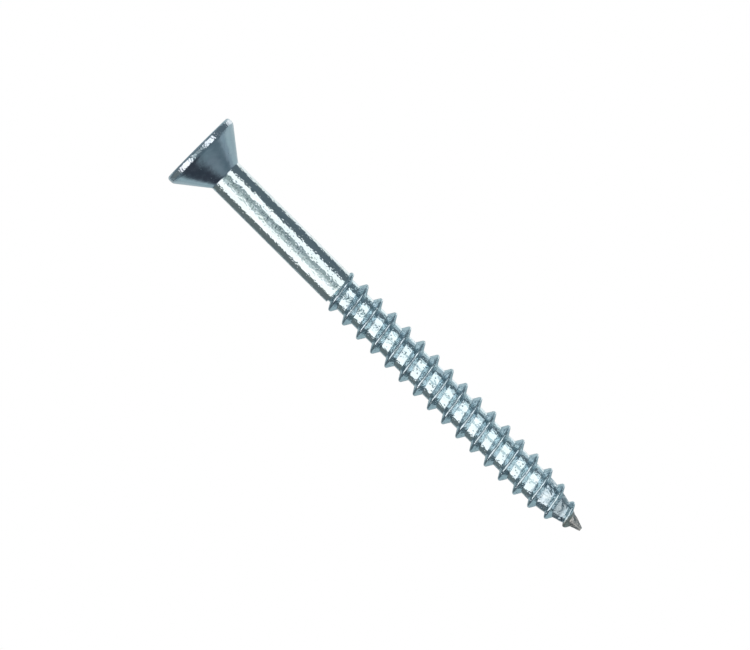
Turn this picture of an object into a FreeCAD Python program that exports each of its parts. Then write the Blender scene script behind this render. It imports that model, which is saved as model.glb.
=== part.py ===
import FreeCAD, Part
import math
import os

# A countersunk wood screw with a cross recess and a rolled single-start thread.
# Millimetres and degrees. z = 0 is the head's flat face and +Z points out of it,
# so every depth below is measured from that face towards the tip.
totalLength = 63.5

headRadius = 5.04
headEdgeRounding = 0.35      # between the flat face and the rim
coneStartDepth = 0.88        # the rim's height, its roundings included
rimRounding = 0.7           # between the rim and the cone
coneHalfAngle = 38.0
neckRounding = 0.3          # between the cone and the shank

shankRadius = 2.14
shankEndDepth = 23.5

coreRadius = 1.88
threadRadius = 2.743
threadPitch = 2.348
flankHalfAngle = 30.0
crestWidth = 0.2
ridgeLead = 1.12            # how far above the shank's end the ridge starts
ridgeStartAngle = 126.0     # about +Z from +X
rollInRate = 2.5            # how fast the ridge comes up to its height, per turn
rollInFirst = 0.28          # the share of its height that it starts with
pointFade = 0.11            # the share of its height that it loses per turn on the point
fadeLead = 0.8              # how many turns before the point it begins to lose height
runOutTurns = 0.3
runOutHeight = 0.04
tipGap = 0.97               # from the end of the ridge to the tip
rootSink = 0.12             # how far the run-in reaches into the shank before it's trimmed
trimmedTurns = 1.25         # the run-in, from its start to well below the shank's end

pointLength = 7.5           # from the start of the taper to the tip
bareLength = 2.1            # the pinched end, which is bare steel
bareRadius = 0.92
noseRadius = 0.22

recessRadius = 3.25         # to the ends of the wings at the face
recessHalfAngle = 26.5      # the taper of the wings' ends
recessFloorRadius = 1.905
recessFloorSlope = 28.0
wingWidth = 1.1
wingDraft = 3.0
recessCoreAcross = 2.41     # across the flats between the wings

stationsPerTurn = 24

# Places that follow from the sizes.
neckLength = neckRounding * math.tan(math.radians(coneHalfAngle / 2))
coneEndDepth = coneStartDepth + (headRadius - shankRadius) / math.tan(math.radians(coneHalfAngle))
neckEndDepth = coneEndDepth + neckLength
pointStartDepth = totalLength - pointLength
bareStartDepth = totalLength - bareLength
ridgeStartDepth = shankEndDepth - ridgeLead
ridgeTurns = (totalLength - tipGap - ridgeStartDepth) / threadPitch
ridgeHeight = threadRadius - coreRadius
taperRise = coreRadius - bareRadius
taperRun = bareStartDepth - pointStartDepth
taperArcRadius = (taperRise ** 2 + taperRun ** 2) / (2 * taperRise)


def onPlane(radius, depth):
    return FreeCAD.Vector(radius, 0, -depth)


def polygonEdges(points):
    return [Part.makeLine(a, b) for a, b in zip(points, points[1:])]


def arcEdge(start, middle, end):
    return Part.Arc(start, middle, end).toShape()


def revolved(edges):
    face = Part.Face(Part.Wire(edges))
    return face.revolve(FreeCAD.Vector(0, 0, 0), FreeCAD.Vector(0, 0, 1), 360)


def roundedCorner(before, corner, after, radius):
    # The arc that rounds a corner of a profile: its start, its middle and its end.
    toBefore = (before - corner).normalize()
    toAfter = (after - corner).normalize()
    half = toBefore.getAngle(toAfter) / 2
    inward = (toBefore + toAfter).normalize()
    centre = corner + inward * (radius / math.sin(half))
    cut = radius / math.tan(half)
    return corner + toBefore * cut, centre - inward * radius, corner + toAfter * cut


def bodyRadius(depth):
    # The surface that the ridge stands on: the core, then the point, then the bare end.
    if depth <= pointStartDepth:
        return coreRadius
    if depth <= bareStartDepth:
        along = depth - pointStartDepth
        return coreRadius - taperArcRadius + math.sqrt(taperArcRadius ** 2 - along ** 2)
    share = (depth - bareStartDepth) / bareLength
    return bareRadius + (noseRadius - bareRadius) * share


def recessEnvelope(above, floorDepth):
    # The taper that the ends of the wings follow, closed by the cone of the floor.
    taper = math.tan(math.radians(recessHalfAngle))
    profile = [
        onPlane(0, -above),
        onPlane(recessRadius + above * taper, -above),
        onPlane(recessFloorRadius, (recessRadius - recessFloorRadius) / taper),
        onPlane(0, floorDepth),
        onPlane(0, -above),
    ]
    return revolved(polygonEdges(profile))


def recessWing(above, floorDepth, turned):
    # Two opposite wings as one slab that narrows downwards.
    draft = math.tan(math.radians(wingDraft))
    topHalf = wingWidth / 2 + above * draft
    lowHalf = wingWidth / 2 - floorDepth * draft
    reach = 2 * recessRadius
    outline = [
        FreeCAD.Vector(-reach, -topHalf, above),
        FreeCAD.Vector(-reach, topHalf, above),
        FreeCAD.Vector(-reach, lowHalf, -floorDepth),
        FreeCAD.Vector(-reach, -lowHalf, -floorDepth),
        FreeCAD.Vector(-reach, -topHalf, above),
    ]
    slab = Part.Face(Part.makePolygon(outline)).extrude(FreeCAD.Vector(2 * reach, 0, 0))
    slab.rotate(FreeCAD.Vector(0, 0, 0), FreeCAD.Vector(0, 0, 1), turned)
    return slab


def recessMiddle(above, floorDepth):
    # The square where the wings cross, its corners in the wings.
    draft = math.tan(math.radians(wingDraft))
    outlines = []
    for height in (above, -floorDepth):
        corner = (recessCoreAcross / 2 + height * draft) * math.sqrt(2)
        ring = [(corner, 0), (0, corner), (-corner, 0), (0, -corner), (corner, 0)]
        outlines.append(Part.makePolygon([FreeCAD.Vector(x, y, height) for x, y in ring]))
    return Part.makeLoft(outlines, True)


def recessShape():
    above = 0.5
    wallDepth = (recessRadius - recessFloorRadius) / math.tan(math.radians(recessHalfAngle))
    floorDepth = wallDepth + recessFloorRadius * math.tan(math.radians(recessFloorSlope))
    wing = recessWing(above, floorDepth, 0)
    crossWing = recessWing(above, floorDepth, 90)
    cross = wing.fuse([crossWing, recessMiddle(above, floorDepth)])
    return cross.common(recessEnvelope(above, floorDepth))


def makeHead():
    # The profile runs from the face over the rim and down the cone to the shank.
    faceCorner = onPlane(headRadius, 0)
    rimCorner = onPlane(headRadius, coneStartDepth)
    neckCorner = onPlane(shankRadius, coneEndDepth)
    lowCorner = onPlane(shankRadius, neckEndDepth)
    axisTop = onPlane(0, 0)
    axisLow = onPlane(0, neckEndDepth)
    edge = roundedCorner(axisTop, faceCorner, rimCorner, headEdgeRounding)
    rim = roundedCorner(faceCorner, rimCorner, neckCorner, rimRounding)
    neck = roundedCorner(rimCorner, neckCorner, lowCorner, neckRounding)
    profile = [
        Part.makeLine(axisTop, edge[0]),
        arcEdge(*edge),
        Part.makeLine(edge[2], rim[0]),
        arcEdge(*rim),
        Part.makeLine(rim[2], neck[0]),
        arcEdge(*neck),
        Part.makeLine(neck[2], axisLow),
        Part.makeLine(axisLow, axisTop),
    ]
    return revolved(profile).cut(recessShape())


def makeShank():
    low = FreeCAD.Vector(0, 0, -shankEndDepth)
    return Part.makeCylinder(shankRadius, shankEndDepth - neckEndDepth, low)


def makeCore():
    low = FreeCAD.Vector(0, 0, -pointStartDepth)
    return Part.makeCylinder(coreRadius, pointStartDepth - shankEndDepth, low)


def makePoint():
    # The taper is an arc that leaves the core without a corner.
    start = onPlane(coreRadius, pointStartDepth)
    middleDepth = (pointStartDepth + bareStartDepth) / 2
    middle = onPlane(bodyRadius(middleDepth), middleDepth)
    end = onPlane(bareRadius, bareStartDepth)
    axisTop = onPlane(0, pointStartDepth)
    axisLow = onPlane(0, bareStartDepth)
    profile = [
        Part.makeLine(axisTop, start),
        arcEdge(start, middle, end),
        Part.makeLine(end, axisLow),
        Part.makeLine(axisLow, axisTop),
    ]
    return revolved(profile)


def makeTip():
    # The bare pinched end, a cone with a rounded nose.
    base = onPlane(bareRadius, bareStartDepth)
    corner = onPlane(noseRadius, totalLength)
    axisTop = onPlane(0, bareStartDepth)
    axisLow = onPlane(0, totalLength)
    nose = roundedCorner(base, corner, axisLow, noseRadius * 0.6)
    profile = [
        Part.makeLine(axisTop, base),
        Part.makeLine(base, nose[0]),
        arcEdge(*nose),
        Part.makeLine(nose[2], axisLow),
        Part.makeLine(axisLow, axisTop),
    ]
    return revolved(profile)


def crestHeight(turn):
    # How far the ridge stands above the surface under it, all the way along.
    depth = ridgeStartDepth + turn * threadPitch
    rolledIn = 1 - (1 - rollInFirst) * math.exp(-rollInRate * turn)
    faded = pointFade * max(0, (depth - pointStartDepth) / threadPitch + fadeLead)
    height = ridgeHeight * rolledIn * (1 - faded)
    return runOutHeight + (height - runOutHeight) * min(1, (ridgeTurns - turn) / runOutTurns)


def ridgeStation(turn, sink):
    # The ridge's section at one place: its crest, then its foot from the tip's side back up.
    angle = math.radians(ridgeStartAngle - 360 * turn)
    depth = ridgeStartDepth + turn * threadPitch
    height = crestHeight(turn)
    footHalf = crestWidth / 2 + (height + sink) * math.tan(math.radians(flankHalfAngle))
    crest = bodyRadius(depth) + height
    corners = [(crest, depth - crestWidth / 2), (crest, depth + crestWidth / 2)]
    for share in (1, 0.5, 0, -0.5, -1):
        footDepth = depth + footHalf * share
        corners.append((bodyRadius(footDepth) - sink, footDepth))
    cosine = math.cos(angle)
    sine = math.sin(angle)
    return [FreeCAD.Vector(radius * cosine, radius * sine, -z) for radius, z in corners]


def ridgeRails(stations, turns):
    # One smooth helical curve through each corner of the sections.
    rails = []
    for corners in zip(*stations):
        curve = Part.BSplineCurve()
        curve.interpolate(Points=list(corners), Parameters=turns)
        rails.append(curve)
    return rails


def ridgeBetween(firstTurn, lastTurn, sink):
    # Strips between neighbouring rails, a turn at a time, and a flat cap at each end.
    steps = math.ceil((lastTurn - firstTurn) * stationsPerTurn)
    turns = [firstTurn + (lastTurn - firstTurn) * i / steps for i in range(steps + 1)]
    stations = [ridgeStation(turn, sink) for turn in turns]
    rails = ridgeRails(stations, turns)
    faces = []
    for start in range(0, steps, stationsPerTurn):
        end = min(start + stationsPerTurn, steps)
        pieces = []
        for rail in rails:
            piece = rail.copy()
            piece.segment(turns[start], turns[end])
            pieces.append(piece.toShape())
        for one, other in zip(pieces, pieces[1:] + pieces[:1]):
            faces.append(Part.makeRuledSurface(one, other, 1))
    for station in (stations[0], stations[-1]):
        faces.append(Part.Face(Part.makePolygon(station + station[:1])))
    shell = Part.makeShell(faces)
    shell.sewShape()
    solid = Part.makeSolid(shell)
    if solid.Volume < 0:
        solid.reverse()
    return solid


def makeThread(shank, core):
    # The run-in rises out of the shank, so it's trimmed; the rest stands on the surface.
    runIn = ridgeBetween(0, trimmedTurns, rootSink).cut([shank, core])
    return runIn.fuse(ridgeBetween(trimmedTurns, ridgeTurns, 0))


os.makedirs("parts", exist_ok=True)
pieces = {
    "head": makeHead(),
    "shank": makeShank(),
    "core": makeCore(),
    "point": makePoint(),
    "tip": makeTip(),
}
pieces["thread"] = makeThread(pieces["shank"], pieces["core"])
for name, shape in pieces.items():
    shape.exportStep("parts/" + name + ".step")
    print(name, len(shape.Solids), round(shape.Volume, 3), shape.isValid())
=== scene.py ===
import math

import bmesh
import bpy
from mathutils import Matrix, Vector, noise


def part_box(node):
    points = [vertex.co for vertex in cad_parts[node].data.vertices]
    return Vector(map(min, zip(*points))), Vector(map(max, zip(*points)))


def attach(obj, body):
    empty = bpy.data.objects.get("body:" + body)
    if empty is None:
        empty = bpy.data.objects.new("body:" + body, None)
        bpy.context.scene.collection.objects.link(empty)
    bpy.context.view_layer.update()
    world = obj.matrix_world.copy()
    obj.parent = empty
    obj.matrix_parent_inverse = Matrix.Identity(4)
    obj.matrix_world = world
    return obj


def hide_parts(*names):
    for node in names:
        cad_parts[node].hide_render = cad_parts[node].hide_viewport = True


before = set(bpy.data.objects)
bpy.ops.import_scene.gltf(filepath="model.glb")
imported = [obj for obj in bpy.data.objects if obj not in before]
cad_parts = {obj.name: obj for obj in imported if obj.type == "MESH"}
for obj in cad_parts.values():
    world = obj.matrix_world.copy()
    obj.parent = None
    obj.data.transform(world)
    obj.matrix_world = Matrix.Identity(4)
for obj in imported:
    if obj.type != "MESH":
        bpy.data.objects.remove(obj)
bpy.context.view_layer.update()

mm = 0.001

# Everything below is in millimetres, with depth measured down from the head's flat face.
headLow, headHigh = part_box("head")
shankLow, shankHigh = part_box("shank")
coreLow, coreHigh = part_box("core")
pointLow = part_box("point")[0]
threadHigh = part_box("thread")[1]
tipLow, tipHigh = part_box("tip")
headRadius = headHigh[0] / mm
neckDepth = -headLow[2] / mm
shankRadius = shankHigh[0] / mm
shankEnd = -shankLow[2] / mm
coreRadius = coreHigh[0] / mm
pointStart = -coreLow[2] / mm
bareStart = -pointLow[2] / mm
bareRadius = tipHigh[0] / mm
tipDepth = -tipLow[2] / mm
threadRadius = threadHigh[0] / mm
print("sizes read from the frame: head", round(headRadius, 3), "thread", round(threadRadius, 3))


def uneven(point, grain, amount):
    # A smooth wander, up to about amount either way, with lumps about grain across.
    return noise.noise(Vector(point) / grain) * amount


def ringPoints(radius, depth, angles):
    return [(radius * math.cos(a), radius * math.sin(a), -depth) for a in angles]


def unevenRing(radius, depth, angles, grain, amount):
    # The same ring, wandering in and out.
    loop = []
    for a in angles:
        rim = (math.cos(a) * radius, math.sin(a) * radius, depth)
        here = radius + uneven(rim, grain, amount)
        loop.append((here * math.cos(a), here * math.sin(a), -depth))
    return loop


def evenAngles(count):
    return [2 * math.pi * i / count for i in range(count)]


def arcSteps(centreRadius, centreDepth, radius, startAngle, endAngle, steps):
    # Points of a profile's arc as (radius, depth); 0 points outwards and 90 points down.
    points = []
    for i in range(steps + 1):
        a = math.radians(startAngle + (endAngle - startAngle) * i / steps)
        points.append((centreRadius + radius * math.cos(a), centreDepth + radius * math.sin(a)))
    return points


def skinLoops(name, loops):
    # One mesh over a stack of loops that all have the same number of points.
    bm = bmesh.new()
    rows = [[bm.verts.new((x * mm, y * mm, z * mm)) for x, y, z in loop] for loop in loops]
    for upper, lower in zip(rows, rows[1:]):
        for i in range(len(upper)):
            j = (i + 1) % len(upper)
            bm.faces.new((upper[i], upper[j], lower[j], lower[i])).smooth = True
    for cap in (bm.faces.new(list(reversed(rows[0]))), bm.faces.new(rows[-1])):
        for edge in cap.edges:
            edge.smooth = False
    bmesh.ops.recalc_face_normals(bm, faces=bm.faces)
    mesh = bpy.data.meshes.new(name)
    bm.to_mesh(mesh)
    bm.free()
    piece = bpy.data.objects.new(name, mesh)
    bpy.context.collection.objects.link(piece)
    return piece


def fitPiece(piece, node, material):
    # Every piece of the screw moves with the one body and stands for one CAD node.
    piece.data.materials.append(material)
    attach(piece, "root")
    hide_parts(node)
    print("made", piece.name, "with", len(piece.data.polygons), "faces")


# Node helpers for the metal finishes.

def newFinish(name):
    material = bpy.data.materials.new(name)
    material.use_nodes = True
    tree = material.node_tree
    return material, tree, tree.nodes["Principled BSDF"]


def calc(tree, kind, *values):
    # One maths node; values may be sockets or plain numbers.
    node = tree.nodes.new("ShaderNodeMath")
    node.operation = kind
    for socket, value in zip(node.inputs, values):
        if isinstance(value, (int, float)):
            socket.default_value = value
        else:
            tree.links.new(value, socket)
    return node.outputs["Value"]


def cellSpace(tree, cells):
    # The object's own space, stretched to cells given in millimetres along X, Y and Z.
    place = tree.nodes.new("ShaderNodeTexCoord")
    stretch = tree.nodes.new("ShaderNodeMapping")
    stretch.inputs["Scale"].default_value = [1 / (c * mm) for c in cells]
    tree.links.new(place.outputs["Object"], stretch.inputs["Vector"])
    return stretch.outputs["Vector"]


def grainOf(tree, cells, detail, rough=0.55):
    # Smooth noise; detail is how many finer layers it has, and rough is how strong they are.
    space = cellSpace(tree, cells)
    field = tree.nodes.new("ShaderNodeTexNoise")
    field.inputs["Scale"].default_value = 1.0
    field.inputs["Detail"].default_value = detail
    field.inputs["Roughness"].default_value = rough
    tree.links.new(space, field.inputs["Vector"])
    return field.outputs["Fac"]


def spread(tree, source, low, high, fromLow=0.3, fromHigh=0.7):
    # Stretches what lies between fromLow and fromHigh to run from low to high.
    band = tree.nodes.new("ShaderNodeMapRange")
    band.inputs["From Min"].default_value = fromLow
    band.inputs["From Max"].default_value = fromHigh
    band.inputs["To Min"].default_value = low
    band.inputs["To Max"].default_value = high
    tree.links.new(source, band.inputs["Value"])
    return band.outputs["Result"]


def blendColours(tree, share, one, other, start=0.35, end=0.65):
    # From one plain colour to the other as the share goes from start to end.
    ramp = tree.nodes.new("ShaderNodeValToRGB")
    ramp.color_ramp.elements[0].color = (*one, 1)
    ramp.color_ramp.elements[1].color = (*other, 1)
    ramp.color_ramp.elements[0].position = start
    ramp.color_ramp.elements[1].position = end
    tree.links.new(share, ramp.inputs["Fac"])
    return ramp.outputs["Color"]


def raised(tree, height, depth, under=None):
    # Bump by a height field; depth is how far it stands up, in millimetres.
    bump = tree.nodes.new("ShaderNodeBump")
    bump.inputs["Strength"].default_value = 1.0
    bump.inputs["Distance"].default_value = depth * mm
    tree.links.new(height, bump.inputs["Height"])
    if under:
        tree.links.new(under, bump.inputs["Normal"])
    return bump.outputs["Normal"]


def bandShare(tree, low, high, under, fade=0.25):
    # 1 between two levels in millimetres, and under elsewhere; fade is the edge's width as a
    # share of half the band.
    place = tree.nodes.new("ShaderNodeTexCoord")
    parts = tree.nodes.new("ShaderNodeSeparateXYZ")
    tree.links.new(place.outputs["Object"], parts.inputs["Vector"])
    middle = (low + high) / 2 * mm
    away = calc(tree, "ABSOLUTE", calc(tree, "SUBTRACT", parts.outputs["Z"], middle))
    reach = (high - low) / 2 * mm
    return spread(tree, away, 1.0, under, reach, reach * (1 + fade))


def pitsOf(tree, cells, size):
    # Sparse round pits, size being their radius as a share of a cell: 1 in a pit, 0 outside.
    space = cellSpace(tree, cells)
    spots = tree.nodes.new("ShaderNodeTexVoronoi")
    spots.inputs["Scale"].default_value = 1.0
    tree.links.new(space, spots.inputs["Vector"])
    return spread(tree, spots.outputs["Distance"], 1.0, 0.0, size / 2, size)


def mixColours(tree, share, one, other):
    # Two colours, each a socket or plain numbers, mixed by a share.
    mix = tree.nodes.new("ShaderNodeMix")
    mix.data_type = "RGBA"
    tree.links.new(share, mix.inputs["Factor"])
    for socket, value in ((mix.inputs["A"], one), (mix.inputs["B"], other)):
        if isinstance(value, tuple):
            socket.default_value = (*value, 1)
        else:
            tree.links.new(value, socket)
    return mix.outputs["Result"]


# In a finish, cells, rises, pit depths and the levels of bands are in millimetres, and the
# rest are colours, shares or roughness. smooth and rough are the least and most roughness
# outside the pits. A finish may have a band that is more speckled than the rest, or duller.
pitRoughness = 0.25  # how much rougher a pit is than the metal round it


def metalFinish(look):
    # Metal whose colour, polish and surface wander by cloud, grain, speckle and pits.
    material, tree, shader = newFinish(look["name"])
    shader.inputs["Metallic"].default_value = 1.0
    cloud = grainOf(tree, look["cloudCells"], detail=1)
    grain = grainOf(tree, look["grainCells"], detail=0)
    speckle = grainOf(tree, look["speckleCells"], detail=0)
    tint = grainOf(tree, look["tintCells"], detail=2)
    pits = pitsOf(tree, look["pitCells"], look["pitSize"])
    colour = blendColours(tree, cloud, look["dull"], look["bright"])
    colour = mixColours(tree, spread(tree, tint, 0.0, look["tintShare"]), colour, look["tint"])
    share = calc(tree, "MULTIPLY", pits, look["pitDark"])
    colour = mixColours(tree, share, colour, look["pitColour"])
    polish = spread(tree, grain, look["smooth"], look["rough"])
    if "dullBand" in look:
        dull = bandShare(tree, *look["dullBand"], 0)
        share = calc(tree, "MULTIPLY", dull, look["dullShare"])
        colour = mixColours(tree, share, colour, look["dullColour"])
        polish = calc(tree, "MULTIPLY_ADD", dull, look["dullRough"], polish)
    polish = calc(tree, "MULTIPLY_ADD", pits, pitRoughness, polish)
    tree.links.new(colour, shader.inputs["Base Color"])
    tree.links.new(polish, shader.inputs["Roughness"])
    surface = raised(tree, cloud, look["cloudRise"])
    surface = raised(tree, grain, look["grainRise"], surface)
    if "roughBand" in look:
        speckle = calc(tree, "MULTIPLY", speckle, bandShare(tree, *look["roughBand"]))
    surface = raised(tree, speckle, look["speckleRise"], surface)
    surface = raised(tree, calc(tree, "MULTIPLY", pits, -1), look["pitDepth"], surface)
    tree.links.new(surface, shader.inputs["Normal"])
    return material


# The head: a punched cross recess, a flat face, a rounded rim, the cone and its neck.
headShape = {
    "faceRounding": 0.35,
    "rimHeight": 0.88,
    "rimRounding": 0.7,
    "coneHalfAngle": 38.0,
    "neckRounding": 0.3,
    "recessRadius": 3.25,
    "recessHalfAngle": 26.5,
    "recessFloorRadius": 1.905,
    "recessFloorSlope": 28.0,
    "wingWidth": 1.1,
    "wingDraft": 3.0,
    "middleAcross": 2.41,
    "mouthRounding": 0.12,
    "leastWing": 0.05,  # keeps the cross's outline open near the bottom, as does the next
    "leastReach": 0.02,
    "lipMargin": 0.02,
    # How finely each part is divided.
    "endPoints": 5,
    "sidePoints": 14,
    "middlePoints": 5,
    "floorShares": (0.985, 0.85, 0.7, 0.55, 0.4, 0.25, 0.12, 0.04),
    "wallSteps": 11,
    "mouthSteps": 5,
    "faceShares": (0.0, 0.2, 0.5, 0.8, 0.97, 1.0),
    "edgeSteps": 8,
    "rimSteps": 7,
    "coneSteps": 16,
    "neckSteps": 12,
    "finish": {
        "name": "zincOnHead", "bright": (0.86, 0.92, 0.95), "dull": (0.76, 0.84, 0.88),
        "tint": (0.80, 0.76, 0.84), "tintShare": 0.5, "tintCells": (2.2, 2.2, 2.2),
        "cloudCells": (2.0, 2.0, 2.0), "cloudRise": 0.03,
        "grainCells": (0.6, 0.6, 0.8), "grainRise": 0.012,
        "speckleCells": (0.24, 0.24, 0.24), "speckleRise": 0.045,
        "roughBand": (-0.85, -0.08, 0.11),
        "pitCells": (0.8, 0.8, 0.8), "pitSize": 0.10, "pitDepth": 0.01,
        "pitDark": 0.5, "pitColour": (0.25, 0.28, 0.30), "smooth": 0.12, "rough": 0.22,
    },
}


def recessWall(shape):
    # The taper of the recess's ends and the slope of its floor, as tangents, and where the
    # ends meet the floor.
    taper = math.tan(math.radians(shape["recessHalfAngle"]))
    slope = math.tan(math.radians(shape["recessFloorSlope"]))
    return taper, slope, (shape["recessRadius"] - shape["recessFloorRadius"]) / taper


def crossOutline(shape, depth, grow):
    # The recess's outline at one depth, grown by a margin, going once round.
    taper, slope, wallDepth = recessWall(shape)
    draft = math.tan(math.radians(shape["wingDraft"]))
    half = shape["wingWidth"] / 2 - depth * draft + grow
    diagonal = (shape["middleAcross"] / 2 - depth * draft + grow) * math.sqrt(2)
    reach = shape["recessRadius"] - depth * taper + grow
    if depth > wallDepth:
        reach = shape["recessFloorRadius"] - (depth - wallDepth) / slope
    inner = diagonal - half
    outer = max(math.sqrt(max(reach ** 2 - half ** 2, 0)), inner + shape["leastWing"])
    octant = []
    for i in range(shape["endPoints"]):
        y = half * i / shape["endPoints"]
        octant.append((math.sqrt(max(outer ** 2 + half ** 2 - y ** 2, 0)), y))
    for i in range(shape["sidePoints"]):
        octant.append((outer + (inner - outer) * i / shape["sidePoints"], half))
    for i in range(shape["middlePoints"] + 1):
        share = i / shape["middlePoints"]
        x = inner + (diagonal / 2 - inner) * share
        octant.append((x, half + (diagonal / 2 - half) * share))
    quarter = octant + [(y, x) for x, y in reversed(octant[1:-1])]
    outline = []
    for turn in range(4):
        for x, y in quarter:
            for _ in range(turn):
                x, y = -y, x
            scale = min(1.0, max(reach, shape["leastReach"]) / math.hypot(x, y))
            outline.append((x * scale, y * scale))
    # Each point is averaged with its neighbours, which rounds the corners a little.
    after = outline[1:] + outline[:1]
    before = outline[-1:] + outline[:-1]
    return [
        tuple((one + 2 * here + other) / 4 for one, here, other in zip(last, point, following))
        for last, point, following in zip(before, outline, after)
    ]


def recessLoops(shape):
    # From the middle of the recess's floor, up its walls and over its rounded mouth.
    slope, wallDepth = recessWall(shape)[1:]
    floorDepth = wallDepth + shape["recessFloorRadius"] * slope
    mouth = shape["mouthRounding"]
    steps = shape["wallSteps"]
    levels = [(wallDepth + (floorDepth - wallDepth) * share, 0) for share in shape["floorShares"]]
    levels += [(wallDepth + (mouth - wallDepth) * i / steps, 0) for i in range(steps + 1)]
    for i in range(1, shape["mouthSteps"] + 1):
        a = math.radians(90 * i / shape["mouthSteps"])
        levels.append((mouth * (1 - math.sin(a)), mouth * (1 - math.cos(a))))
    loops = []
    for depth, grow in levels:
        loops.append([(x, y, -depth) for x, y in crossOutline(shape, depth, grow)])
    return loops


def faceLoops(shape, lip, angles):
    # The flat face, from the recess's outline out to a circle.
    radius = headRadius - shape["faceRounding"]
    loops = []
    for share in shape["faceShares"]:
        loop = []
        for (x, y), a in zip(lip, angles):
            outX, outY = radius * math.cos(a), radius * math.sin(a)
            loop.append((x + (outX - x) * share, y + (outY - y) * share, 0.0))
        loops.append(loop)
    return loops


def coneProfile(shape):
    # The edge, the rim, the cone and the neck, as (radius, depth) from the top down.
    edge, rim, neck = shape["faceRounding"], shape["rimRounding"], shape["neckRounding"]
    cone = shape["coneHalfAngle"]
    profile = arcSteps(headRadius - edge, edge, edge, -90, 0, shape["edgeSteps"])[1:]
    # The rim's lower corner turns from straight down to the cone's slant.
    rimEnd = shape["rimHeight"] - rim * math.tan(math.radians(cone / 2))
    profile.append((headRadius, (edge + rimEnd) / 2))
    profile += arcSteps(headRadius - rim, rimEnd, rim, 0, cone, shape["rimSteps"])
    # The neck is an inside curve, so its centre lies outside the steel.
    neckCentre = shankRadius + neck
    slant = math.radians(cone)
    neckStart = (neckCentre - neck * math.cos(slant), neckDepth - neck * math.sin(slant))
    coneStart = profile[-1]
    for i in range(1, shape["coneSteps"]):
        share = i / shape["coneSteps"]
        profile.append(tuple(a + (b - a) * share for a, b in zip(coneStart, neckStart)))
    for i in range(shape["neckSteps"] + 1):
        a = math.radians(cone * (1 - i / shape["neckSteps"]))
        profile.append((neckCentre - neck * math.cos(a), neckDepth - neck * math.sin(a)))
    return profile


def headLoops(shape):
    lip = crossOutline(shape, 0, shape["mouthRounding"] + shape["lipMargin"])
    angles = evenAngles(len(lip))
    loops = recessLoops(shape) + faceLoops(shape, lip, angles)
    return loops + [ringPoints(radius, depth, angles) for radius, depth in coneProfile(shape)]


head = skinLoops("headWithCrossRecess", headLoops(headShape))
fitPiece(head, "head", metalFinish(headShape["finish"]))


# The shank: drawn wire, very slightly out of true, rounded over at its lower end.
shankShape = {
    "around": 160,
    "ringStep": 0.35,
    "endRounding": 0.1,
    "endSteps": 5,
    "capShare": 0.9,
    "wander": 0.004,
    "wanderGrain": 1.4,
    "calmRings": 4,  # the wander grows over these, so the shank meets the neck exactly
    "finish": {
        "name": "zincOnShank", "bright": (0.88, 0.93, 0.95), "dull": (0.76, 0.83, 0.85),
        "tint": (0.82, 0.88, 0.78), "tintShare": 0.5, "tintCells": (0.5, 0.5, 1.5),
        "cloudCells": (1.0, 1.0, 6.0), "cloudRise": 0.02,
        "grainCells": (0.40, 0.40, 1.2), "grainRise": 0.010,
        "speckleCells": (0.25, 0.25, 0.27), "speckleRise": 0.036,
        "pitCells": (0.42, 0.42, 0.5), "pitSize": 0.20, "pitDepth": 0.010,
        "pitDark": 0.2, "pitColour": (0.12, 0.14, 0.15), "smooth": 0.06, "rough": 0.14,
    },
}


def shankLoops(shape):
    angles = evenAngles(shape["around"])
    rounding = shape["endRounding"]
    length = shankEnd - rounding - neckDepth
    rings = int(length / shape["ringStep"])
    loops = []
    for i in range(rings + 1):
        depth = neckDepth + length * i / rings
        wander = shape["wander"] * min(1, i / shape["calmRings"])
        loops.append(unevenRing(shankRadius, depth, angles, shape["wanderGrain"], wander))
    steps = shape["endSteps"]
    corner = arcSteps(shankRadius - rounding, shankEnd - rounding, rounding, 0, 90, steps)
    loops += [ringPoints(radius, depth, angles) for radius, depth in corner[1:]]
    loops.append(ringPoints(coreRadius * shape["capShare"], shankEnd, angles))
    return loops


shank = skinLoops("plainShank", shankLoops(shankShape))
fitPiece(shank, "shank", metalFinish(shankShape["finish"]))


# The body that the thread stands on: the core, then the taper, then the pinched end.
bodyShape = {
    "around": 144,
    "noseRadius": 0.22,
    "wander": 0.012,
    "wanderGrain": 0.7,
    "taperWander": 0.09,
    "taperWanderPower": 1.5,
}

# The taper follows one arc, which starts in line with the core.
taperRise = coreRadius - bareRadius
taperRun = bareStart - pointStart
taperArc = (taperRise ** 2 + taperRun ** 2) / (2 * taperRise)


def bodyRadius(depth):
    if depth <= pointStart:
        return coreRadius
    if depth <= bareStart:
        return coreRadius - taperArc + math.sqrt(taperArc ** 2 - (depth - pointStart) ** 2)
    share = (depth - bareStart) / (tipDepth - bareStart)
    return bareRadius + (bodyShape["noseRadius"] - bareRadius) * share


def bodyWander(depth):
    # The taper is pinched by the dies, so it gets rougher towards its end.
    share = max(0, (depth - pointStart) / (bareStart - pointStart))
    extra = bodyShape["taperWander"] * share ** bodyShape["taperWanderPower"]
    return bodyShape["wander"] + extra


def bodyLoops(start, end, step):
    angles = evenAngles(bodyShape["around"])
    rings = max(2, round((end - start) / step))
    loops = []
    for i in range(rings + 1):
        depth = start + (end - start) * i / rings
        wander = bodyWander(depth)
        loops.append(unevenRing(bodyRadius(depth), depth, angles, bodyShape["wanderGrain"], wander))
    return loops


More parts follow.
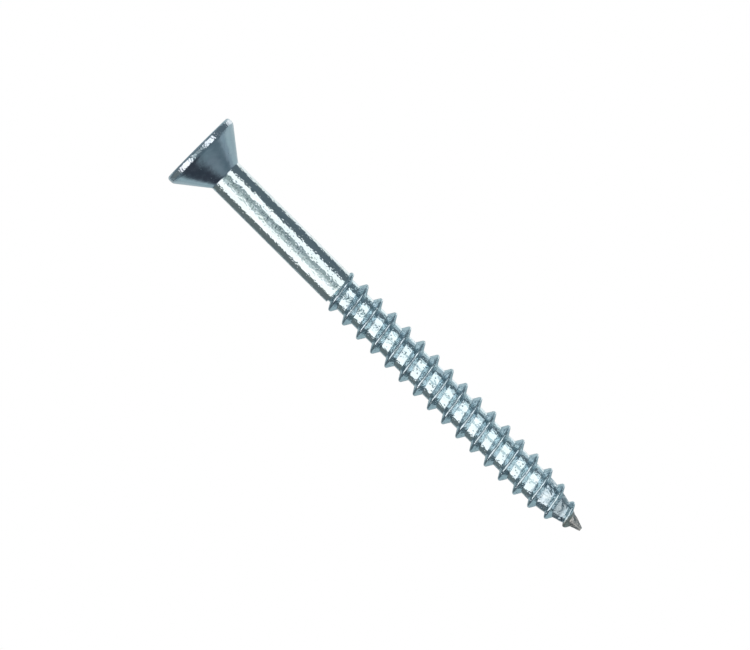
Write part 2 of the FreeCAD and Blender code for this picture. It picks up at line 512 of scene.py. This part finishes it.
coreShape = {
    "ringStep": 0.3,
    "finish": {
        "name": "zincOnCore", "bright": (0.88, 0.97, 0.99), "dull": (0.77, 0.87, 0.92),
        "tint": (0.77, 0.90, 0.88), "tintShare": 0.6, "tintCells": (0.8, 0.8, 0.8),
        "cloudCells": (1.2, 1.2, 1.2), "cloudRise": 0.06,
        "grainCells": (0.5, 0.5, 0.5), "grainRise": 0.035,
        "speckleCells": (0.22, 0.22, 0.22), "speckleRise": 0.032,
        "pitCells": (0.42, 0.42, 0.42), "pitSize": 0.26, "pitDepth": 0.02,
        "pitDark": 0.6, "pitColour": (0.12, 0.14, 0.15), "smooth": 0.06, "rough": 0.15,
    },
}
core = skinLoops("threadedCore", bodyLoops(shankEnd, pointStart, coreShape["ringStep"]))
fitPiece(core, "core", metalFinish(coreShape["finish"]))

pointShape = {
    "ringStep": 0.12,
    "finish": {
        "name": "zincOnPoint", "bright": (0.84, 0.91, 0.93), "dull": (0.62, 0.72, 0.76),
        "tint": (0.44, 0.54, 0.60), "tintShare": 0.8, "tintCells": (0.5, 0.5, 0.5),
        "cloudCells": (0.8, 0.8, 0.8), "cloudRise": 0.22,
        "grainCells": (0.42, 0.42, 0.42), "grainRise": 0.10,
        "speckleCells": (0.25, 0.25, 0.25), "speckleRise": 0.04,
        "pitCells": (0.45, 0.45, 0.45), "pitSize": 0.18, "pitDepth": 0.03,
        "pitDark": 0.7, "pitColour": (0.15, 0.17, 0.18), "smooth": 0.09, "rough": 0.18,
        "dullBand": (-60.5, -59.0), "dullShare": 0.38, "dullRough": 0.22,
        "dullColour": (0.13, 0.16, 0.18),
    },
}
point = skinLoops("gimletPoint", bodyLoops(pointStart, bareStart, pointShape["ringStep"]))
fitPiece(point, "point", metalFinish(pointShape["finish"]))


# The bare end: pinched to a few flats, cut off blunt and a little aslant.
tipShape = {
    "flats": (20, 95, 150, 215, 300),  # the directions that the flats face, in degrees
    "flatness": 0.8,  # 0 is round and 1 is quite flat
    "flatRate": 2.5,
    "flatDistance": 0.9,
    "cornerReach": 1.15,
    "leastCosine": 0.5,
    "slant": 0.12,
    "slantPower": 3,
    "rings": 26,
    "wander": 0.05,
    "wanderGrain": 0.45,
    "wanderFade": 0.6,
    "finish": {
        "name": "bareSteelOnTip", "bright": (0.64, 0.61, 0.58), "dull": (0.46, 0.44, 0.42),
        "tint": (0.58, 0.55, 0.51), "tintShare": 0.6, "tintCells": (0.5, 0.5, 0.6),
        "cloudCells": (0.7, 0.7, 0.8), "cloudRise": 0.07,
        "grainCells": (0.35, 0.35, 0.5), "grainRise": 0.04,
        "speckleCells": (0.2, 0.2, 0.2), "speckleRise": 0.03,
        "pitCells": (0.4, 0.4, 0.4), "pitSize": 0.2, "pitDepth": 0.03,
        "pitDark": 0.7, "pitColour": (0.14, 0.12, 0.10), "smooth": 0.35, "rough": 0.60,
    },
}


def flattened(shape, base, angle, share):
    # Distance to the nearest flat's plane, mixed with the round form by how far down it is.
    cosine = max(math.cos(angle - math.radians(f)) for f in shape["flats"])
    flat = base * shape["flatDistance"] / max(cosine, shape["leastCosine"])
    flat = min(flat, base * shape["cornerReach"])
    return base + (flat - base) * shape["flatness"] * min(1, share * shape["flatRate"])


def tipLoops(shape):
    angles = evenAngles(bodyShape["around"])
    loops = []
    for i in range(shape["rings"] + 1):
        share = i / shape["rings"]
        depth = bareStart + (tipDepth - bareStart) * share
        base = bodyRadius(depth)
        wander = shape["wander"] * (1 - share * shape["wanderFade"])
        loop = []
        for a in angles:
            rim = (math.cos(a) * base, math.sin(a) * base, depth)
            radius = flattened(shape, base, a, share) + uneven(rim, shape["wanderGrain"], wander)
            x, y = radius * math.cos(a), radius * math.sin(a)
            slant = shape["slant"] * x * share ** shape["slantPower"]
            loop.append((x, y, -depth + slant))
        loops.append(loop)
    return loops


tip = skinLoops("bareTip", tipLoops(tipShape))
fitPiece(tip, "tip", metalFinish(tipShape["finish"]))


# The thread: one right-hand ridge with a rounded crest, root fillets, a run-in and a run-out.
ridgeShape = {
    "pitch": 2.348,
    "startAngle": 126.0,
    "startDepth": 22.38,
    "endGap": 0.97,
    "flankHalfAngle": 30.0,
    "crestRounding": 0.2,
    "crestLimit": 0.9,  # the rounding is never more than this share of the height
    "leastHeight": 0.05,
    "rootRounding": 0.12,
    "rollInRate": 2.5,
    "rollInFirst": 0.28,
    "pointFade": 0.11,
    "fadeLead": 0.8,
    "runOutTurns": 0.3,
    "runOutSink": 0.03,
    "lateStart": 0.3,
    "lateRate": 2,
    "thinStart": 0.6,
    "sink": 0.04,  # how far the ridge's foot is buried in the core
    "footSpread": 0.06,
    "stationsPerTurn": 72,
    "crestSteps": 4,
    "flankSteps": 5,
    "rootSteps": 6,
    "wander": 0.02,
    "wanderGrain": 0.9,
    "wanderRadius": 3,
    "finish": {
        "name": "zincOnThread", "bright": (0.79, 0.885, 0.94), "dull": (0.63, 0.74, 0.81),
        "tint": (0.72, 0.83, 0.82), "tintShare": 0.6, "tintCells": (0.9, 0.9, 0.9),
        "cloudCells": (1.0, 1.0, 1.0), "cloudRise": 0.05,
        "grainCells": (0.45, 0.45, 0.45), "grainRise": 0.03,
        "speckleCells": (0.25, 0.25, 0.25), "speckleRise": 0.035,
        "pitCells": (0.4, 0.4, 0.4), "pitSize": 0.25, "pitDepth": 0.015,
        "pitDark": 0.45, "pitColour": (0.15, 0.17, 0.18), "smooth": 0.08, "rough": 0.18,
        "dullBand": (-62.9, -61.55), "dullShare": 0.85, "dullRough": 0.35,
        "dullColour": (0.40, 0.40, 0.34),
    },
}
ridgeTurns = (tipDepth - ridgeShape["endGap"] - ridgeShape["startDepth"]) / ridgeShape["pitch"]


def ridgeHeight(shape, turn):
    # It rises as it is rolled in, gets lower along the point and sinks away at its end.
    depth = shape["startDepth"] + turn * shape["pitch"]
    rolledIn = 1 - (1 - shape["rollInFirst"]) * math.exp(-shape["rollInRate"] * turn)
    faded = shape["pointFade"] * max(0, (depth - pointStart) / shape["pitch"] + shape["fadeLead"])
    height = (threadRadius - coreRadius) * rolledIn * (1 - faded)
    left = min(1, (ridgeTurns - turn) / shape["runOutTurns"])
    return height * left - shape["runOutSink"] * (1 - left)


def ridgeProfile(shape, height, turn):
    # Half of the section from the crest to the foot, as (along the axis, above the core).
    share = shape["thinStart"] + (1 - shape["thinStart"]) * min(1, turn)
    flank = math.radians(shape["flankHalfAngle"] * share)
    arc = math.pi / 2 - flank
    crest = min(shape["crestRounding"], max(height, shape["leastHeight"]) * shape["crestLimit"])
    root = shape["rootRounding"]
    half = []
    for i in range(shape["crestSteps"] + 1):
        a = arc * i / shape["crestSteps"]
        half.append((crest * math.sin(a), height - crest + crest * math.cos(a)))
    crestEnd = half[-1]
    footAlong = crestEnd[0] + crestEnd[1] * math.tan(flank)
    tangent = root * math.tan(arc / 2)
    filletTop = (footAlong - tangent * math.sin(flank), tangent * math.cos(flank))
    steps = shape["flankSteps"]
    for i in range(1, steps):
        half.append(tuple(a + (b - a) * i / steps for a, b in zip(crestEnd, filletTop)))
    for i in range(shape["rootSteps"] + 1):
        a = arc * (1 - i / shape["rootSteps"])
        along = footAlong + tangent - root * math.sin(a)
        half.append((along, root - root * math.cos(a)))
    half.append((footAlong + tangent + shape["footSpread"], -shape["sink"]))
    return half


def ridgeLoops(shape):
    steps = round(ridgeTurns * shape["stationsPerTurn"])
    loops = []
    for i in range(steps + 1):
        turn = ridgeTurns * i / steps
        angle = math.radians(shape["startAngle"] - 360 * turn)
        late = shape["lateStart"] * math.exp(-shape["lateRate"] * turn)
        depth = shape["startDepth"] + turn * shape["pitch"] + late
        reach = shape["wanderRadius"]
        place = (math.cos(angle) * reach, math.sin(angle) * reach, depth)
        height = ridgeHeight(shape, turn) + uneven(place, shape["wanderGrain"], shape["wander"])
        half = ridgeProfile(shape, height, turn)
        section = [(-along, above) for along, above in reversed(half[1:])] + half
        loop = []
        for along, above in section:
            radius = bodyRadius(min(depth + along, tipDepth)) + above
            loop.append((radius * math.cos(angle), radius * math.sin(angle), -(depth + along)))
        loops.append(loop)
    return loops


ridge = skinLoops("rolledThread", ridgeLoops(ridgeShape))
fitPiece(ridge, "thread", metalFinish(ridgeShape["finish"]))


# The studio: a pale floor, a dome with two long soft panels beside the camera, and small cards
# near the thread, which have honeycombs, so that they only light what faces them squarely.
# Card outlines run from low to high: level and distance in millimetres, then from and to, in
# degrees round from the camera towards +X.
studio = {
    "floorGap": 0.4,
    "floorReach": 4000,
    "floorHalfWidth": 6000,
    "wallCurve": 2000,
    "curveSteps": 10,
    "cardSteps": 16,
    "cards": {
        "fillCardRight": (((-78, 50, 6, 26), (-27, 50, 6, 26)), (1.10, 1.13, 1.13)),
        "fillCardLeft": (((-78, 50, -36, -8), (-27, 50, -36, -8)), (1.10, 1.13, 1.13)),
        "edgeCardRight": (((-78, 50, 48, 66), (-27, 50, 48, 66)), (0.62, 0.73, 0.78)),
        "middleCard": (((-78, 50, -8, 6), (-27, 50, -8, 6)), (0.56, 0.68, 0.73)),
        "sideCardRight": (((-78, 50, 94, 126), (-27, 50, 94, 126)), (0.40, 0.50, 0.55)),
        "pointCard": (((-112, 14, -50, 40), (-74, 42, -50, 40)), (1.1, 1.13, 1.13)),
    },
    "honeycomb": (0.02, 0.10),  # how far aslant a card starts to clear, and has cleared
    # The dome's own light below and above the level, and how many degrees they blend over.
    "below": (0.035, 0.045, 0.060),
    "above": (0.12, 0.16, 0.18),
    "levelBlend": 60,
}
# Parts of the dome: middle and half-width round, middle and half-height above level, soft
# edge (all in degrees), then the light.
domeParts = {
    "levelDark": (0, 140, 0, 40, 16, (0.100, 0.140, 0.168)),
    "levelLeft": (-108, 26, 0, 12, 10, (0.135, 0.165, 0.172)),
    "backdropFar": (169.5, 45.5, 0, 82, 20, (0.165, 0.24, 0.285)),
    "backdropRight": (149, 24.5, 2, 30, 10, (0.36, 0.46, 0.49)),
    "backdropLeft": (200, 14, 2, 30, 10, (0.36, 0.46, 0.49)),
    "backdropHigh": (167, 11, 26, 17, 10, (0.46, 0.58, 0.62)),
    "backdropLow": (172.5, 57.5, -44, 20, 14, (0.33, 0.44, 0.475)),
    "sideRight": (128, 34, -52, 18, 24, (0.23, 0.31, 0.36)),
    "floorRight": (70, 90, -72, 34, 36, (0.10, 0.15, 0.18)),
    "floorMiddle": (20, 181, -90, 19, 12, (0.168, 0.228, 0.262)),
    "overhead": (0, 181, 78, 26, 40, (0.17, 0.24, 0.28)),
    "dimMiddle": (0, 36, 2, 7, 6, (0.33, 0.41, 0.43)),
    "dimLeft": (-24, 12, 2, 8, 6, (0.60, 0.70, 0.72)),
    "panelRight": (35.5, 17.5, 4, 28, 6, (1.14, 1.20, 1.24)),
    "panelLeft": (-56, 23, 4, 28, 6, (1.18, 1.20, 1.22)),
    "rimRight": (146, 22, 0, 10, 8, (0.95, 1.0, 1.02)),
    "rimLeft": (-167, 8, 0, 8, 6, (0.50, 0.53, 0.53)),
}


def paperMaterial(name, colour):
    material = bpy.data.materials.new(name)
    material.use_nodes = True
    tree = material.node_tree
    tree.nodes.clear()
    glow = tree.nodes.new("ShaderNodeEmission")
    glow.inputs["Color"].default_value = (*colour, 1)
    output = tree.nodes.new("ShaderNodeOutputMaterial")
    tree.links.new(glow.outputs["Emission"], output.inputs["Surface"])
    return material


def stageSheet(name, rows, material):
    # A sheet through rows of points, set up as part of the studio.
    bm = bmesh.new()
    grid = [[bm.verts.new(Vector(point) * mm) for point in row] for row in rows]
    for one, other in zip(grid, grid[1:]):
        for i in range(len(one) - 1):
            bm.faces.new((one[i], one[i + 1], other[i + 1], other[i])).smooth = True
    mesh = bpy.data.meshes.new(name)
    bm.to_mesh(mesh)
    bm.free()
    sheet = bpy.data.objects.new(name, mesh)
    sheet.data.materials.append(material)
    bpy.context.collection.objects.link(sheet)
    return sheet


def makeFloor():
    # Flat under the screw, then curved up into a wall far behind it.
    level = -(tipDepth + studio["floorGap"])
    far, curve, side = studio["floorReach"], studio["wallCurve"], studio["floorHalfWidth"]
    line = [(-far, level), (0, level), (far, level)]
    for i in range(1, studio["curveSteps"] + 1):
        a = math.radians(90 * i / studio["curveSteps"])
        line.append((far + curve * math.sin(a), level + curve * (1 - math.cos(a))))
    rows = [[(x, y, z) for x in (-side, side)] for y, z in line]
    floor = stageSheet("paleFloor", rows, paperMaterial("palePaper", (1, 1, 1)))
    # Only the camera sees the floor, so the dome alone lights the screw from below.
    floor.visible_glossy = False
    floor.visible_diffuse = False
    floor.visible_shadow = False


makeFloor()


def makeCards():
    # A card is clear when seen aslant, as its honeycomb would make it.
    steps = studio["cardSteps"]
    for name, (outline, light) in studio["cards"].items():
        material = paperMaterial(name, light)
        tree = material.node_tree
        slant = tree.nodes.new("ShaderNodeLayerWeight")
        slant.inputs["Blend"].default_value = 0.5
        share = spread(tree, slant.outputs["Facing"], 1.0, 0.0, *studio["honeycomb"])
        clear = tree.nodes.new("ShaderNodeBsdfTransparent")
        mix = tree.nodes.new("ShaderNodeMixShader")
        tree.links.new(share, mix.inputs["Fac"])
        tree.links.new(clear.outputs["BSDF"], mix.inputs[1])
        tree.links.new(tree.nodes["Emission"].outputs["Emission"], mix.inputs[2])
        tree.links.new(mix.outputs["Shader"], tree.nodes["Material Output"].inputs["Surface"])
        rows = []
        for level, far, start, end in outline:
            turns = [math.radians(start + (end - start) * i / steps) for i in range(steps + 1)]
            rows.append([(math.sin(a) * far, -math.cos(a) * far, level) for a in turns])
        card = stageSheet(name, rows, material)
        card.visible_camera = False
        card.visible_shadow = False


makeCards()


def softEdge(tree, distance, half, edge):
    # 1 inside the panel, 0 outside, with a smooth edge between.
    band = tree.nodes.new("ShaderNodeMapRange")
    band.interpolation_type = "SMOOTHSTEP"
    band.inputs["From Min"].default_value = half + edge / 2
    band.inputs["From Max"].default_value = half - edge / 2
    tree.links.new(distance, band.inputs["Value"])
    return band.outputs["Result"]


def makeDome():
    # The metal sees the dome, and the camera sees plain white paper behind the screw.
    world = bpy.data.worlds.new("studioDome")
    bpy.context.scene.world = world
    world.use_nodes = True
    tree = world.node_tree
    tree.nodes.clear()
    place = tree.nodes.new("ShaderNodeTexCoord")
    parts = tree.nodes.new("ShaderNodeSeparateXYZ")
    tree.links.new(place.outputs["Generated"], parts.inputs["Vector"])
    inDegrees = 180 / math.pi
    towardsCamera = calc(tree, "MULTIPLY", parts.outputs["Y"], -1)
    around = calc(tree, "ARCTAN2", parts.outputs["X"], towardsCamera)
    around = calc(tree, "MULTIPLY", around, inDegrees)
    rise = calc(tree, "MULTIPLY", calc(tree, "ARCSINE", parts.outputs["Z"]), inDegrees)
    # With its edge turned round, this is 0 well below the level and 1 well above it.
    aboveLevel = softEdge(tree, rise, 0, -studio["levelBlend"])
    total = mixColours(tree, aboveLevel, studio["below"], studio["above"])
    for middle, half, height, reach, edge, light in domeParts.values():
        away = calc(tree, "WRAP", calc(tree, "SUBTRACT", around, middle), 180, -180)
        up = calc(tree, "SUBTRACT", rise, height)
        beside = softEdge(tree, calc(tree, "ABSOLUTE", away), half, edge)
        level = softEdge(tree, calc(tree, "ABSOLUTE", up), reach, edge)
        layer = tree.nodes.new("ShaderNodeMix")
        layer.data_type = "RGBA"
        layer.blend_type = "LIGHTEN"
        tree.links.new(calc(tree, "MULTIPLY", beside, level), layer.inputs["Factor"])
        tree.links.new(total, layer.inputs["A"])
        layer.inputs["B"].default_value = (*light, 1)
        total = layer.outputs["Result"]
    air = tree.nodes.new("ShaderNodeBackground")
    tree.links.new(total, air.inputs["Color"])
    paper = tree.nodes.new("ShaderNodeBackground")
    paper.inputs["Color"].default_value = (1, 1, 1, 1)
    seen = tree.nodes.new("ShaderNodeLightPath")
    mix = tree.nodes.new("ShaderNodeMixShader")
    output = tree.nodes.new("ShaderNodeOutputWorld")
    tree.links.new(seen.outputs["Is Camera Ray"], mix.inputs["Fac"])
    tree.links.new(air.outputs["Background"], mix.inputs[1])
    tree.links.new(paper.outputs["Background"], mix.inputs[2])
    tree.links.new(mix.outputs["Shader"], output.inputs["Surface"])


makeDome()
print("studio ready")


# A long lens level with the screw, rolled so that the head is up to the left.
cameraSet = {
    "roll": 45.13,
    "lens": 800.0,
    "frameWidth": 88.05,
    "aimDepth": 29.13,
    "aimRight": 0.197,
    "aimDown": 0.252,
    "nearest": 0.01,  # in metres, as is the next
    "furthest": 20,
}


def makeCamera(settings):
    lens = bpy.data.cameras.new("studioCamera")
    lens.lens = settings["lens"]
    camera = bpy.data.objects.new("studioCamera", lens)
    bpy.context.collection.objects.link(camera)
    roll = math.radians(settings["roll"])
    right = Vector((math.cos(roll), 0, -math.sin(roll)))
    up = Vector((math.sin(roll), 0, math.cos(roll)))
    back = right.cross(up)
    distance = settings["frameWidth"] * settings["lens"] / lens.sensor_width
    aim = Vector((0, 0, -settings["aimDepth"])) + right * settings["aimRight"]
    aim -= up * settings["aimDown"]
    place = (aim + back * distance) * mm
    turned = Matrix((right, up, back)).transposed().to_4x4()
    camera.matrix_world = Matrix.Translation(place) @ turned
    lens.clip_start = settings["nearest"]
    lens.clip_end = settings["furthest"]
    bpy.context.scene.camera = camera


makeCamera(cameraSet)
bpy.context.scene.view_settings.view_transform = "Standard"
print("camera ready")
